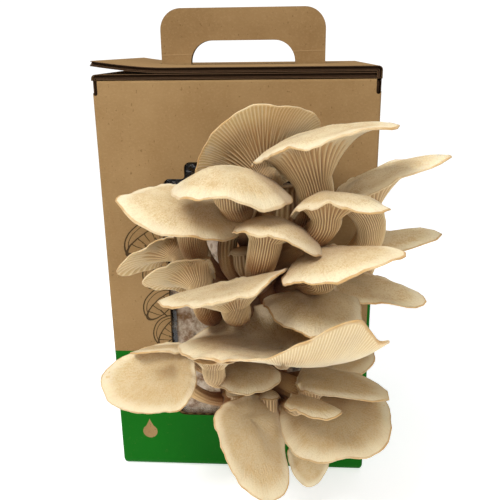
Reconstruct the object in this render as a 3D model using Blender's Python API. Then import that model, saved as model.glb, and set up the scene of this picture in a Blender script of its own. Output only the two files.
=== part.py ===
# Oyster mushroom grow kit: a kraft corrugated carton with a handle and a front window, the bagged
# substrate block inside it, and two clusters of oyster mushrooms growing out through the window.
# Frame: metres, +Z up, the window faces -Y, origin at the middle of the carton's footprint.

import math

import bmesh
import bpy
import numpy as np
from mathutils import Vector

MM = 0.001

# carton
CARTON_WIDTH = 0.180
CARTON_DEPTH = 0.150
CARTON_HEIGHT = 0.283
BOARD = 0.0032
FOLD_RADIUS = 0.0016
BOTTOM_RADIUS = 0.0035
FLAP_GAP = 0.0006
FLAP_LIFT = 0.0045
FLAP_LIFT_START = -0.045
NOTCH_DEPTH = 0.009
NOTCH_WIDTH = 0.0036

# window in the front panel: the main opening and the narrower thumb tab above it
WINDOW_HALF = 0.048
WINDOW_BOTTOM = 0.045
WINDOW_TOP = 0.221
WINDOW_RADIUS = 0.008
TAB_HALF = 0.034
TAB_TOP = 0.232
TAB_RADIUS = 0.004

# handle: two boards thick, standing up through a slot in both flaps
HANDLE_WIDTH = 0.118
HANDLE_TOP = 0.329
HANDLE_STRIP = 0.022
HANDLE_LEG = 0.0215
HANDLE_OUTER_RADIUS = 0.015
HANDLE_INNER_RADIUS = 0.012
SLOT_CLEARANCE = 0.0010

# bagged substrate
BLOCK_SIDE_GAP = 0.0016
BLOCK_HEIGHT = 0.246
BLOCK_RADIUS = 0.008
FILM = 0.0004
FILM_GAP = 0.0004
FILM_CUT_MARGIN = 0.0035

# where the stems are fused together: centre and half sizes of each knot, in mm
KNOTS = {
    "upper": ((17, -76, 143), (25, 28, 36)),
    "lower": ((12, -76, 68), (24, 22, 20)),
}
KNOT_BACK = -0.0702
ROOT_GAP = 0.5

# mesh density of one mushroom
AROUND = 14
CAP_RINGS = (0.35, 0.72, 1.0)
GILL_RINGS = (0.9, 0.5, 0.2, 0.0)
STEM_RINGS = 4

FLESH = (0.78, 0.66, 0.48, 1.0)
KRAFT = (0.42, 0.29, 0.17, 1.0)

# Every mushroom, in mm and degrees.
#   hub   middle of the cap's top, where the stem meets it
#   turn  heading of the cap's long side from the window (+ towards +X), rise, and roll about it
#   size  how far the margin is from the hub: ahead, behind, left, right
#   bend  how far the margin drops below the hub at those four places (- is raised)
#   stem  radius at the cap and at the foot
#   root  knot, and the azimuth and elevation of the foot on it
MUSHROOMS = {
    "top_fan": dict(hub=(16, -103, 234), turn=(30, 58, 4), size=(44, 12, 39, 38),
                    bend=(-3, 2, -4, -5), stem=(6, 4.5), root=("upper", -10, 62),
                    deep=9, square=2.4),
    "big_trumpet": dict(hub=(39, -143, 258), turn=(72, 16, -6), size=(51, 30, 25, 24),
                        bend=(6, 8, 0, 2), stem=(8.5, 5), root=("upper", 60, 62),
                        deep=24, flare=2.3, lead=0.25),
    "upper_dome": dict(hub=(3, -151, 241), turn=(-8, -2, 4), size=(30, 15, 31, 33),
                       bend=(9, 4, 13, 14), stem=(6, 4.5), root=("upper", -32, 40), lead=0.25),
    "left_tongue": dict(hub=(-19, -126, 221), turn=(-62, 10, 24), size=(44, 14, 20, 27),
                        bend=(3, 3, 2, 6), stem=(6, 4.5), root=("upper", -64, 20), lead=0.2),
    "small_umbrella": dict(hub=(53, -160, 232), turn=(66, 2, 2), size=(32, 19, 17, 14),
                           bend=(5, 13, 3, 3), stem=(5, 4.5), root=("upper", 20, 45),
                           lead=0.1, land=0.2),
    "high_blade": dict(hub=(68, -123, 228), turn=(72, 29, -12), size=(56, 14, 18, 18),
                       bend=(8, 2, 3, 2), stem=(8, 4.5), root=("upper", 66, 24),
                       deep=18, lead=0.35),
    "middle_dome": dict(hub=(24, -159, 218), turn=(-16, 4, 8), size=(19, 15, 18, 31),
                        bend=(4, 3, 9, 11), stem=(7, 5), root=("upper", -5, 28),
                        deep=10, curl=1, lead=0.2),
    "low_blade": dict(hub=(80, -95, 186), turn=(78, 15, -25), size=(47, 6, 11, 12),
                      bend=(5, 1, 3, 2), stem=(4.5, 4), root=("upper", 76, -8)),
    "right_shell": dict(hub=(47, -164, 200), turn=(52, 17, -22), size=(51, 12, 28, 14),
                        bend=(5, 2, 2, 2), stem=(6, 4.5), root=("upper", 40, 22),
                        lead=0.05, land=0.1),
    "left_leaf": dict(hub=(-39, -97, 185), turn=(-80, -17, -50), size=(41, 6, 16, 20),
                      bend=(2, 2, 2, 2), stem=(4, 3.5), root=("upper", -84, -2)),
    "gill_shell": dict(hub=(-20, -125, 177), turn=(-80, -8, -54), size=(32, 10, 14, 20),
                       bend=(2, 2, 3, 4), stem=(5, 4), root=("upper", -58, -12)),
    "bright_shell": dict(hub=(3, -165, 183), turn=(-8, 8, -13), size=(26, 11, 40, 32),
                         bend=(-1, 0, 1, -5), stem=(6, 4.5), root=("upper", -18, 6),
                         flare=1.4, lead=0.1),
    "folded_bowl": dict(hub=(32, -163, 148), turn=(-32, 8, -3), size=(42, 24, 66, 58),
                        bend=(-6, -5, 4, -34), stem=(8, 5.5), root=("upper", 8, -34),
                        deep=13, curl=2, flare=1.6, lead=0.1, wave=(3, 5, -135),
                        square=2.3),
    "inner_shell": dict(hub=(50, -140, 169), turn=(22, -7, 6), size=(34, 6, 26, 25),
                        bend=(4, 2, 4, 5), stem=(5, 4), root=("upper", 44, -36),
                        lead=0.05, land=0.15),
    "right_wing": dict(hub=(71, -117, 168), turn=(72, -10, 16), size=(47, 10, 15, 14),
                       bend=(-1, 1, -1, 2), stem=(5, 4), root=("upper", 78, -38)),
    "corner_saucer": dict(hub=(-38, -125, 110), turn=(-84, -8, 46), size=(47, 14, 18, 27),
                          bend=(-2, 0, -2, -2), stem=(5, 4), root=("lower", -66, -8), lead=0.3),
    "corner_sliver": dict(hub=(-27, -103, 124), turn=(-70, 10, -12), size=(38, 10, 13, 9),
                          bend=(3, 1, 2, 1), stem=(4, 3.5), root=("lower", -74, 32),
                          deep=8, lead=0.1),
    "little_trumpet": dict(hub=(-15, -137, 129), turn=(-20, 5, 0), size=(13, 11, 13, 13),
                           bend=(0, 0, 0, 0), stem=(5, 4), root=("lower", -38, 42),
                           deep=14, curl=0.5, flare=1.5, lead=0.3),
    "small_button": dict(hub=(7, -129, 115), turn=(-4, -12, 2), size=(18, 12, 18, 23),
                         bend=(4, 2, 5, 4), stem=(4.5, 3.5), root=("lower", -12, 34), lead=0.15),
    "low_shelf": dict(hub=(47, -125, 107), turn=(68, 12, 6), size=(47, 9, 13, 12),
                      bend=(4, 2, 2, 2), stem=(6, 4), root=("lower", 30, 46), lead=0.1),
    "back_shelf": dict(hub=(67, -105, 109), turn=(60, 4, -4), size=(27, 10, 10, 14),
                       bend=(2, 2, 3, 2), stem=(4, 3.5), root=("lower", 70, 34), lead=0.2),
    "small_point": dict(hub=(40, -157, 112), turn=(56, 4, 6), size=(28, 6, 11, 9),
                        bend=(2, 1, 2, 2), stem=(3.5, 3.5), root=("lower", 38, 8),
                        deep=6, lead=0.05, land=0.15),
    "low_fan": dict(hub=(63, -133, 92), turn=(28, -28, -8), size=(37, 8, 33, 36),
                    bend=(3, 2, 5, 2), stem=(5.5, 4), root=("lower", 62, -20),
                    curl=2, square=2.1, lead=0.2),
    "low_tongue": dict(hub=(11, -137, 84), turn=(32, -52, 8), size=(50, 14, 26, 26),
                       bend=(-1, 2, -3, 5), stem=(6, 4.5), root=("lower", -8, -14),
                       square=2.2, lead=0.3),
    "under_tongue": dict(hub=(49, -117, 45), turn=(8, -60, 0), size=(22, 8, 14, 13),
                         bend=(2, 1, 2, 2), stem=(4, 3.5), root=("lower", 28, -48), lead=0.3),
}


def clear_scene():
    for obj in list(bpy.data.objects):
        bpy.data.objects.remove(obj, do_unlink=True)


def make_collection(name):
    collection = bpy.data.collections.new(name)
    bpy.context.scene.collection.children.link(collection)
    return collection


def make_material(name, color, roughness, metallic=0.0):
    material = bpy.data.materials.new(name)
    material.use_nodes = True
    shader = material.node_tree.nodes["Principled BSDF"]
    shader.inputs["Base Color"].default_value = color
    shader.inputs["Roughness"].default_value = roughness
    shader.inputs["Metallic"].default_value = metallic
    return material


def add_object(name, mesh_builder, collection, material=None):
    mesh = bpy.data.meshes.new(name)
    mesh_builder.to_mesh(mesh)
    mesh_builder.free()
    obj = bpy.data.objects.new(name, mesh)
    collection.objects.link(obj)
    if material:
        mesh.materials.append(material)
    return obj


def box_mesh(low, high, radius=0.0, along=None, segments=3):
    # a box between two corners; its edges along the named axes are rounded
    builder = bmesh.new()
    bmesh.ops.create_cube(builder, size=1.0)
    low, high = Vector(low), Vector(high)
    middle, side = (low + high) / 2, high - low
    for vert in builder.verts:
        vert.co = Vector(middle[i] + vert.co[i] * side[i] for i in range(3))
    if radius:
        chosen = [edge for edge in builder.edges if edge_axis(edge) in (along or "XYZ")]
        bmesh.ops.bevel(builder, geom=chosen, offset=radius, offset_type="OFFSET",
                        segments=segments, profile=0.5, affect="EDGES")
    return builder


def edge_axis(edge):
    run = edge.verts[1].co - edge.verts[0].co
    return "XYZ"[max(range(3), key=lambda i: abs(run[i]))]


def add_boolean(obj, other, operation):
    modifier = obj.modifiers.new(other.name, "BOOLEAN")
    modifier.object = other
    modifier.operation = operation
    modifier.solver = "EXACT"
    other.hide_render = True
    other.display_type = "WIRE"


def flap_mesh(low, high, lifted):
    # a top flap; the free end of the upper one curls up past the handle
    builder = box_mesh(low, high)
    if lifted:
        cuts = [edge for edge in builder.edges if edge_axis(edge) == "X"]
        bmesh.ops.subdivide_edges(builder, edges=cuts, cuts=12, use_grid_fill=True)
        run = FLAP_LIFT_START - low[0]
        for vert in builder.verts:
            past = max(0.0, FLAP_LIFT_START - vert.co.x) / run
            vert.co.z += FLAP_LIFT * past ** 1.6
    return builder


def build_carton(parts, cutters, material):
    half_w, half_d, top = CARTON_WIDTH / 2, CARTON_DEPTH / 2, CARTON_HEIGHT
    carton = add_object("carton", box_mesh((-half_w, -half_d, 0), (half_w, half_d, top),
                                           FOLD_RADIUS, "Z", 2), parts, material)

    def operand(name, mesh_builder, operation):
        add_boolean(carton, add_object("carton_" + name, mesh_builder, cutters), operation)

    inner_w, inner_d = half_w - BOARD, half_d - BOARD
    operand("cavity", box_mesh((-inner_w, -inner_d, BOARD), (inner_w, inner_d, top + BOARD)),
            "DIFFERENCE")
    operand("window", box_mesh((-WINDOW_HALF, -half_d - BOARD, WINDOW_BOTTOM),
                               (WINDOW_HALF, -inner_d + BOARD, WINDOW_TOP),
                               WINDOW_RADIUS, "Y", 4), "DIFFERENCE")
    operand("tab", box_mesh((-TAB_HALF, -half_d - BOARD, WINDOW_TOP - 3 * TAB_RADIUS),
                            (TAB_HALF, -inner_d + BOARD, TAB_TOP), TAB_RADIUS, "Y", 3),
            "DIFFERENCE")
    for side in (-1, 1):
        edge = side * (half_w - NOTCH_WIDTH)
        outer = side * (half_w + NOTCH_WIDTH)
        operand("notch_%s" % ("left" if side < 0 else "right"),
                box_mesh((min(edge, outer), -half_d - BOARD, top - NOTCH_DEPTH),
                         (max(edge, outer), -inner_d - 0.0002, top + NOTCH_DEPTH),
                         0.0014, "Y", 3), "DIFFERENCE")

    # the front and back panels fold in under the lid and turn up again as the handle
    overlap = 0.0004
    dust_low = top - BOARD
    for side in (-1, 1):
        ends = sorted((side * (half_d - overlap), 0.0))
        operand("dust_%s" % ("front" if side < 0 else "back"),
                box_mesh((-inner_w + 0.002, ends[0], dust_low), (inner_w - 0.002, ends[1], top)),
                "UNION")
    operand("handle", box_mesh((-HANDLE_WIDTH / 2, -BOARD, dust_low + overlap),
                               (HANDLE_WIDTH / 2, BOARD, HANDLE_TOP),
                               HANDLE_OUTER_RADIUS, "Y", 4), "UNION")
    hole_half = HANDLE_WIDTH / 2 - HANDLE_LEG
    lid_top = top + 2 * (BOARD + FLAP_GAP)
    operand("finger_hole", box_mesh((-hole_half, -3 * BOARD, lid_top - 0.0004),
                                    (hole_half, 3 * BOARD, HANDLE_TOP - HANDLE_STRIP),
                                    HANDLE_INNER_RADIUS * 0.6, "Y", 3), "DIFFERENCE")

    # the side panels fold over as the two lid flaps, the right one on top of the left one
    levels = {"left": top + FLAP_GAP, "right": top + BOARD + 2 * FLAP_GAP}
    for name, level in levels.items():
        lifted = name == "right"
        side = 1 if lifted else -1
        free_end = -side * (half_w if lifted else inner_w - 0.0006)
        ends = sorted((side * half_w, free_end))
        flap = add_object("lid_" + name, flap_mesh((ends[0], -half_d, level),
                                                   (ends[1], half_d, level + BOARD), lifted),
                          cutters)
        slot_x = HANDLE_WIDTH / 2 + SLOT_CLEARANCE
        slot_y = BOARD + SLOT_CLEARANCE
        slot = add_object("slot_" + name, box_mesh((-slot_x, -slot_y, level - BOARD),
                                                   (slot_x, slot_y, level + 2 * BOARD)), cutters)
        add_boolean(flap, slot, "DIFFERENCE")
        wall_ends = sorted((side * half_w, side * (half_w - BOARD)))
        operand("rise_" + name, box_mesh((wall_ends[0], -half_d + 0.0003, top - BOARD),
                                         (wall_ends[1], half_d - 0.0003, level + overlap)), "UNION")
        add_boolean(carton, flap, "UNION")
    return carton


def build_contents(parts, cutters, substrate_material, film_material):
    # the block stands on the carton's floor; the bag follows it all round, open at the window
    half_w = CARTON_WIDTH / 2 - BOARD - BLOCK_SIDE_GAP
    half_d = CARTON_DEPTH / 2 - BOARD - BLOCK_SIDE_GAP
    low = BOARD + 0.0003 + FILM + FILM_GAP
    block = box_mesh((-half_w, -half_d, low), (half_w, half_d, low + BLOCK_HEIGHT), BLOCK_RADIUS)
    add_object("substrate_block", block, parts, substrate_material)

    def shell(grow):
        return box_mesh((-half_w - grow, -half_d - grow, low - grow),
                        (half_w + grow, half_d + grow, low + BLOCK_HEIGHT + grow),
                        BLOCK_RADIUS + grow)

    bag = add_object("grow_bag", shell(FILM_GAP + FILM), parts, film_material)
    add_boolean(bag, add_object("bag_inside", shell(FILM_GAP), cutters), "DIFFERENCE")
    margin = FILM_CUT_MARGIN
    cut = box_mesh((-WINDOW_HALF + margin, -CARTON_DEPTH, WINDOW_BOTTOM + margin),
                   (WINDOW_HALF - margin, -half_d + 0.02, WINDOW_TOP - margin),
                   WINDOW_RADIUS, "Y", 3)
    add_boolean(bag, add_object("bag_cut", cut, cutters), "DIFFERENCE")


def build_knots(parts, cutters, material):
    # each knot is the rounded mass of fused stem bases, flat where it meets the block
    behind = add_object("knot_trim", box_mesh((-0.1, KNOT_BACK, 0), (0.1, 0.05, 0.25)), cutters)
    for name, (centre, half) in KNOTS.items():
        builder = bmesh.new()
        bmesh.ops.create_uvsphere(builder, u_segments=16, v_segments=10, radius=1.0)
        for vert in builder.verts:
            vert.co = Vector((centre[i] + half[i] * vert.co[i]) * MM for i in range(3))
        knot = add_object(name + "_knot", builder, parts, material)
        add_boolean(knot, behind, "DIFFERENCE")


def cap_frame(turn):
    # ahead, right and up directions of a cap
    heading, rise, roll = (math.radians(angle) for angle in turn)
    ahead = np.array([math.sin(heading) * math.cos(rise), -math.cos(heading) * math.cos(rise),
                      math.sin(rise)])
    level = np.array([math.cos(heading), math.sin(heading), 0.0])
    up = np.cross(ahead, level)
    right = level * math.cos(roll) - up * math.sin(roll)
    return ahead, right, up * math.cos(roll) + level * math.sin(roll)


def root_point(root):
    # foot of a stem on its knot, and the direction it grows in
    name, azimuth, elevation = root
    centre, half = (np.array(value, float) for value in KNOTS[name])
    azimuth, elevation = math.radians(azimuth), math.radians(elevation)
    way = np.array([math.sin(azimuth) * math.cos(elevation),
                    -math.cos(azimuth) * math.cos(elevation), math.sin(elevation)])
    outward = way / half
    outward /= np.linalg.norm(outward)
    return centre + half * way + outward * ROOT_GAP, outward


def turn_about(vector, axis, angle):
    return (vector * math.cos(angle) + np.cross(axis, vector) * math.sin(angle)
            + axis * (axis @ vector) * (1 - math.cos(angle)))


def mushroom_rings(hub, turn, size, bend, stem, root, deep=12, flare=2.0, curl=1.5, square=2.0,
                   lead=0.4, land=0.35, wave=(3, 0, 0), edge=1.0):
    # closed rings from the cap's middle out to the margin, back under the gills and down the stem
    hub = np.array(hub, float)
    ahead, right, up = cap_frame(turn)
    angle = np.linspace(0, 2 * math.pi, AROUND, endpoint=False)
    cos, sin = np.cos(angle), np.sin(angle)
    length = np.where(cos >= 0, size[0], size[1])
    width = np.where(sin >= 0, size[3], size[2])
    margin = (abs(cos / length) ** square + abs(sin / width) ** square) ** (-1 / square)
    drop_x = np.where(cos >= 0, bend[0], bend[1])
    drop_y = np.where(sin >= 0, bend[3], bend[2])
    lobes, swing, phase = wave

    def height(part):
        x, y = margin * cos * part / length, margin * sin * part / width
        ripple = swing * part ** 3 * np.cos(lobes * angle + math.radians(phase))
        return ripple - drop_x * x * x - drop_y * y * y - curl * part ** 6

    def ring(radius, level):
        return hub + np.outer(radius * cos, ahead) + np.outer(radius * sin, right) \
            + np.outer(level, up)

    rings = [ring(margin * part, height(part)) for part in CAP_RINGS]
    for part in GILL_RINGS:
        radius = stem[0] + (margin - stem[0]) * part
        rings.append(ring(radius, height(radius / margin) - edge - deep * (1 - part) ** flare))

    start = rings[-1].mean(axis=0)
    foot, outward = root_point(root)
    reach = np.linalg.norm(foot - start)
    leave = start - up * reach * lead
    arrive = foot + outward * reach * land
    side_a, side_b, before = ahead, right, -up
    for step in range(1, STEM_RINGS + 1):
        t = step / STEM_RINGS
        s = 1 - t
        point = s ** 3 * start + 3 * s * s * t * leave + 3 * s * t * t * arrive + t ** 3 * foot
        way = s * s * (leave - start) + 2 * s * t * (arrive - leave) + t * t * (foot - arrive)
        way /= np.linalg.norm(way)
        axis = np.cross(before, way)
        bent = np.linalg.norm(axis)
        if bent > 1e-9:
            angle_between = math.atan2(bent, before @ way)
            side_a = turn_about(side_a, axis / bent, angle_between)
            side_b = turn_about(side_b, axis / bent, angle_between)
        before = way
        radius = stem[0] + (stem[1] - stem[0]) * t
        rings.append(point + radius * (np.outer(cos, side_a) + np.outer(sin, side_b)))
    return [hub] + rings + [foot]


def loft(first, rings, last):
    # a closed skin over unlike rings, pointed at both ends
    builder = bmesh.new()
    start = builder.verts.new(Vector(first) * MM)
    rows = [[builder.verts.new(Vector(point) * MM) for point in ring] for ring in rings]
    end = builder.verts.new(Vector(last) * MM)
    count = len(rows[0])
    for i in range(count):
        j = (i + 1) % count
        builder.faces.new((start, rows[0][i], rows[0][j]))
        for upper, lower in zip(rows, rows[1:]):
            builder.faces.new((upper[i], lower[i], lower[j], upper[j]))
        builder.faces.new((rows[-1][i], end, rows[-1][j]))
    bmesh.ops.triangulate(builder, faces=list(builder.faces), quad_method="FIXED")
    return builder


def build_mushrooms(parts, material):
    for name, shape in MUSHROOMS.items():
        first, *rings, last = mushroom_rings(**shape)
        mushroom = add_object("mushroom_" + name, loft(first, rings, last), parts, material)
        mushroom.data.shade_smooth()


def main():
    clear_scene()
    parts = make_collection("oyster_mushroom_grow_kit")
    cutters = make_collection("cutters")
    kraft = make_material("kraft_board", KRAFT, 0.85)
    film = make_material("clear_film", (0.75, 0.76, 0.74, 1.0), 0.15)
    substrate = make_material("grown_substrate", (0.62, 0.55, 0.46, 1.0), 0.9)
    flesh = make_material("mushroom_flesh", FLESH, 0.6)
    build_carton(parts, cutters, kraft)
    build_contents(parts, cutters, substrate, film)
    build_knots(parts, cutters, flesh)
    build_mushrooms(parts, flesh)


main()
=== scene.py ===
import math

import bmesh
import bpy
import numpy as np
from mathutils import Matrix, Vector


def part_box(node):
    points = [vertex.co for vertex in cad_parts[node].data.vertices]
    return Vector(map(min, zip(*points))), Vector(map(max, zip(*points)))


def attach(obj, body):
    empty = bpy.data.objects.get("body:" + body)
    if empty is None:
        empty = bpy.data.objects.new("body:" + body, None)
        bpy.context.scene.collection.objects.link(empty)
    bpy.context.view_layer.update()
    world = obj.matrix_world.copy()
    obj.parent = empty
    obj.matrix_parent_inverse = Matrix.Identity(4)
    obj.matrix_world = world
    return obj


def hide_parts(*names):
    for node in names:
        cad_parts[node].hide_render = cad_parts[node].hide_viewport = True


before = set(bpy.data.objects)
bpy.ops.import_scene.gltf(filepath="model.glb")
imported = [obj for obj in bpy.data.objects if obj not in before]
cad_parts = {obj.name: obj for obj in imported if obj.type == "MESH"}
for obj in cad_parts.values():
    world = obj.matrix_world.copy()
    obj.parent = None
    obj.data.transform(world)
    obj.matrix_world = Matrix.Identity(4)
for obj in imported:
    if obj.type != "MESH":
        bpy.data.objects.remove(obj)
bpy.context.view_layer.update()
mm = 0.001
print("frame loaded:", len(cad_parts), "nodes")


def mathNode(operation, flipped=False):
    # an operator of Socket, which adds one Math node
    def combine(self, other):
        first, second = (other, self) if flipped else (self, other)
        return self.finish.node("Math", {"operation": operation}, {0: first, 1: second})
    return combine


class Socket:
    # a shader value that takes part in plain expressions
    def __init__(self, finish, link):
        self.finish, self.link = finish, link

    def math(self, operation, *others):
        sockets = dict(enumerate((self,) + others))
        return self.finish.node("Math", {"operation": operation}, sockets)

    __add__ = __radd__ = mathNode("ADD")
    __mul__ = __rmul__ = mathNode("MULTIPLY")
    __sub__, __rsub__ = mathNode("SUBTRACT"), mathNode("SUBTRACT", flipped=True)
    __truediv__, __rtruediv__ = mathNode("DIVIDE"), mathNode("DIVIDE", flipped=True)
    __pow__, __rpow__ = mathNode("POWER"), mathNode("POWER", flipped=True)
    __gt__, __lt__ = mathNode("GREATER_THAN"), mathNode("LESS_THAN")

    def clamp(self):
        return self.math("MAXIMUM", 0.0).math("MINIMUM", 1.0)

    def step(self, low, high):
        # 0 below low, 1 above high, smooth between
        settings = {"interpolation_type": "SMOOTHSTEP"}
        return self.finish.node("MapRange", settings, {0: self, 1: low, 2: high, 3: 0.0, 4: 1.0})


class Finish:
    # one material and the nodes in it
    def __init__(self, name, **fixed):
        self.material = bpy.data.materials.new(name)
        self.material.use_nodes = True
        self.tree = self.material.node_tree
        self.shader = self.tree.nodes["Principled BSDF"]
        for socket, value in fixed.items():
            self.shader.inputs[socket.replace("_", " ")].default_value = value

    def node(self, kind, settings=None, sockets=None, out=0):
        made = self.tree.nodes.new("ShaderNode" + kind)
        for key, value in (settings or {}).items():
            setattr(made, key, value)
        for key, value in (sockets or {}).items():
            if isinstance(value, Socket):
                self.tree.links.new(value.link, made.inputs[key])
            else:
                made.inputs[key].default_value = value
        return Socket(self, made.outputs[out])

    def attribute(self, name, out=2):
        return self.node("Attribute", {"attribute_name": name}, out=out)

    def place(self, scale=(1, 1, 1), source=None):
        # object coordinates, or another vector, stretched by scale
        source = source or self.node("TexCoord", out=3)
        return self.node("VectorMath", {"operation": "MULTIPLY"}, {0: source, 1: scale})

    def axes(self, vector):
        return [self.node("SeparateXYZ", None, {0: vector}, out=i) for i in range(3)]

    def noise(self, vector, scale, detail=3.0, rough=0.55):
        return self.node("TexNoise", None, {"Vector": vector, "Scale": scale, "Detail": detail,
                                            "Roughness": rough})

    def mix(self, amount, first, second, blend="MIX"):
        settings = {"data_type": "RGBA", "blend_type": blend}
        return self.node("Mix", settings, {0: amount, 6: first, 7: second}, out=2)

    def feed(self, **sockets):
        for name, value in sockets.items():
            self.tree.links.new(value.link, self.shader.inputs[name.replace("_", " ")])

    def bump(self, height, distance, strength):
        return self.node("Bump", None, {"Height": height, "Distance": distance,
                                        "Strength": strength})


def tint(red, green, blue):
    # a paint-chart colour as the shader wants it
    return tuple(((c / 255 + 0.055) / 1.055) ** 2.4 for c in (red, green, blue)) + (1.0,)


def makePiece(name, verts, faces, finish, attributes=None, replaced=()):
    mesh = bpy.data.meshes.new(name)
    mesh.from_pydata([tuple(v) for v in verts], [], faces)
    mesh.update()
    for key, values in (attributes or {}).items():
        values = np.asarray(values, float)
        kind = "FLOAT_VECTOR" if values.ndim == 2 else "FLOAT"
        layer = mesh.attributes.new(key, kind, "POINT")
        layer.data.foreach_set("vector" if values.ndim == 2 else "value", values.ravel())
    mesh.shade_smooth()
    mesh.materials.append(finish.material)
    piece = bpy.data.objects.new(name, mesh)
    bpy.context.scene.collection.objects.link(piece)
    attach(piece, "root")
    if replaced:
        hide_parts(*replaced)


def seedOf(name):
    # each mushroom's own start for its random shape
    return sum(ord(letter) * (place + 7) for place, letter in enumerate(name))


def ripples(points, rng, size, waves=7):
    # smooth unevenness, about -1 to 1, with bumps about size apart
    total = np.zeros(len(points))
    for _ in range(waves):
        way = rng.normal(size=3)
        way *= 2 * math.pi / size * rng.uniform(0.6, 1.4) / np.linalg.norm(way)
        total += np.cos(points @ way + rng.uniform(0, 2 * math.pi))
    return total / math.sqrt(waves / 2) / 1.6


def band(values, low, high):
    part = np.clip((values - low) / (high - low), 0, 1)
    return part * part * (3 - 2 * part)


def mushroomFinish():
    # the hub, gill valley, deep, foot and crease colours stand for painted shade, not the flesh's
    # own colour
    look = {
        "cream": tint(244, 230, 192), "tan": tint(208, 181, 132), "grey": tint(196, 172, 130),
        "rim": tint(190, 142, 74), "pale": tint(248, 234, 202), "hub": tint(138, 102, 54),
        "ridge": tint(240, 214, 164), "gillValleyShade": tint(168, 116, 54), "deep": tint(118, 70, 24),
        "stem": tint(226, 192, 136), "foot": tint(142, 92, 42), "suede": tint(198, 164, 112),
        "crease": tint(170, 118, 48),
    }
    flesh = Finish("mushroomFlesh", Roughness=0.62, Subsurface_Weight=0.16,
                   Subsurface_Scale=0.0035, Sheen_Weight=0.12, Sheen_Roughness=0.5,
                   Specular_IOR_Level=0.3)
    flesh.shader.inputs["Subsurface Radius"].default_value = (1.0, 0.75, 0.45)
    around = flesh.attribute("around", 1)
    reach = flesh.attribute("reach")      # 0 at the hub, 1 at the margin
    under = flesh.attribute("under")      # 0 on the cap, 1 under it
    ridge = flesh.attribute("ridge")      # 0 between gills, 1 on a gill's edge
    stem = flesh.attribute("stem")        # 0 on the cap, 1 at the foot
    tone = flesh.attribute("tone")        # 0 warm, 1 greyish
    fine = flesh.place()
    streaks = flesh.noise(flesh.place((10, 10, 1.5), around), 3.0, 4.0, 0.65)
    threads = flesh.noise(flesh.place((30, 30, 3.0), around), 3.0, 2.0, 0.6)
    cloud = flesh.noise(fine, 38.0, 4.0, 0.6)
    blotch = flesh.noise(fine, 130.0, 3.0, 0.6)
    speck = flesh.noise(fine, 1100.0, 3.0, 0.75)

    body = flesh.mix((cloud * 1.3 - 0.2).clamp(), look["tan"], look["cream"])
    body = flesh.mix(tone * 0.75, body, look["grey"])
    worn = (streaks - 0.5) * 2.0 + (threads - 0.5) * 1.8 + (speck - 0.5) * 5.5 \
        + (blotch - 0.5) * 2.6 + 0.3
    body = flesh.mix(worn.clamp() * 0.75, body, look["suede"])
    edge = reach.step(0.74, 0.95)
    body = flesh.mix(edge * 0.5, body, look["pale"])
    # painted shade: brown in the hollow round the hub, as much as dark asks for
    dark = flesh.attribute("dark")
    body = flesh.mix((1 - reach.step(0.03, dark * 0.35 + 0.25)) * dark * 0.85,
                     body, look["hub"])
    rim = (reach + (blotch - 0.5) * 0.02).step(0.982, 0.998)

    # painted shade between the gills: brown in the valleys, deepest toward the hub and the stem's
    # top
    lamella = flesh.mix((1 - ridge) * (0.75 - reach.step(0.2, 0.9) * 0.4), look["ridge"],
                        look["gillValleyShade"])
    shaded = (1 - ridge) * (1 - reach.step(0.05, 0.6)) * (1 - stem.step(0.02, 0.35))
    lamella = flesh.mix(shaded * 0.6, lamella, look["deep"])
    lamella = flesh.mix((streaks - 0.35).clamp() * 0.35, lamella, look["tan"])
    lamella = flesh.mix(reach.step(0.3, 0.9) * ridge * 0.5, lamella, look["pale"])
    lamella = flesh.mix(stem.step(0.02, 0.5), lamella, look["stem"])
    # painted shade: the stems turn brown toward their foot
    lamella = flesh.mix(stem.step(0.25, 0.95) * (0.75 + cloud * 0.4), lamella, look["foot"])
    colour = flesh.mix(under, body, lamella)
    lined = rim * (1 - stem.step(0.0, 0.02)) * (0.35 + cloud.step(0.4, 0.6) * 0.45)
    colour = flesh.mix(lined, colour, look["rim"])
    # painted shade: the flesh darkens to brown where caps and stems press close together, as an
    # ambient occlusion node finds
    openness = flesh.node("AmbientOcclusion", {"samples": 6}, {"Distance": 0.030}, out=1)
    depth = (1 - under) * 0.5 + under * (0.25 + stem.step(0.0, 0.3) * 0.7)
    creaseShade = 1 - openness.step(0.05, 0.85)
    colour = flesh.mix(creaseShade * depth, colour, look["crease"], "MULTIPLY")

    grain = (speck - 0.5) * 1.0 + (streaks - 0.5) * 0.9 + (threads - 0.5) * 0.8
    flesh.feed(Base_Color=colour, Normal=flesh.bump(grain, 0.0008, 0.6),
               Roughness=0.56 + speck * 0.16)
    return flesh
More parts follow.
